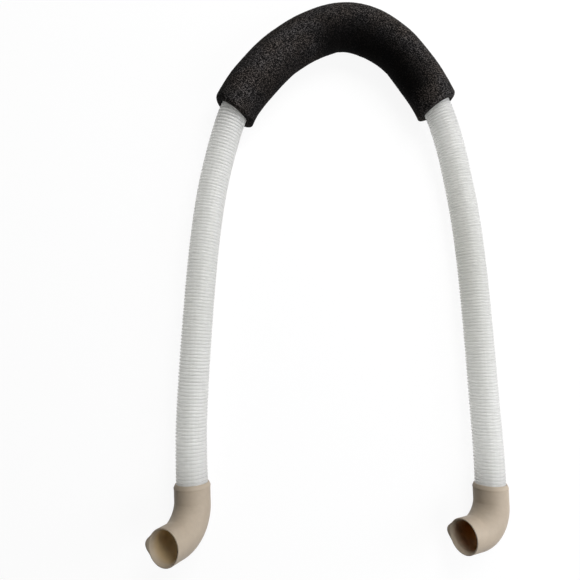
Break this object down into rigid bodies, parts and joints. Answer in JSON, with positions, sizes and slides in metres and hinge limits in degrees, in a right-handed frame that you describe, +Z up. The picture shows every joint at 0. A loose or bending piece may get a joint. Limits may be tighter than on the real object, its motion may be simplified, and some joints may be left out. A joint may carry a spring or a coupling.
{
  "type": "washing machine drain hose",
  "caption": "Ribbed translucent drain hose bent into an arch, with a foam sleeve over the arch and a rubber elbow cuff on each end.",
  "frame": {"origin": "centre of the part's box on the surface it lies on", "axes": "+Z up from the surface it lies on; +Y from the two ends towards the arch; +X towards the right end, whose mouth lies nearly level"},
  "size_m": [0.3754, 0.6052, 0.0662],
  "materials": {
    "translucent_plastic": "translucent, satin",
    "foam": "matt, fine closed cells",
    "tan_rubber": "matt, moulded"
  },
  "bodies": {
    "root": {"corrugated_hose": "translucent_plastic", "foam_sleeve": "foam", "left_elbow_cuff": "tan_rubber", "right_elbow_cuff": "tan_rubber"}
  },
  "joints": []
}
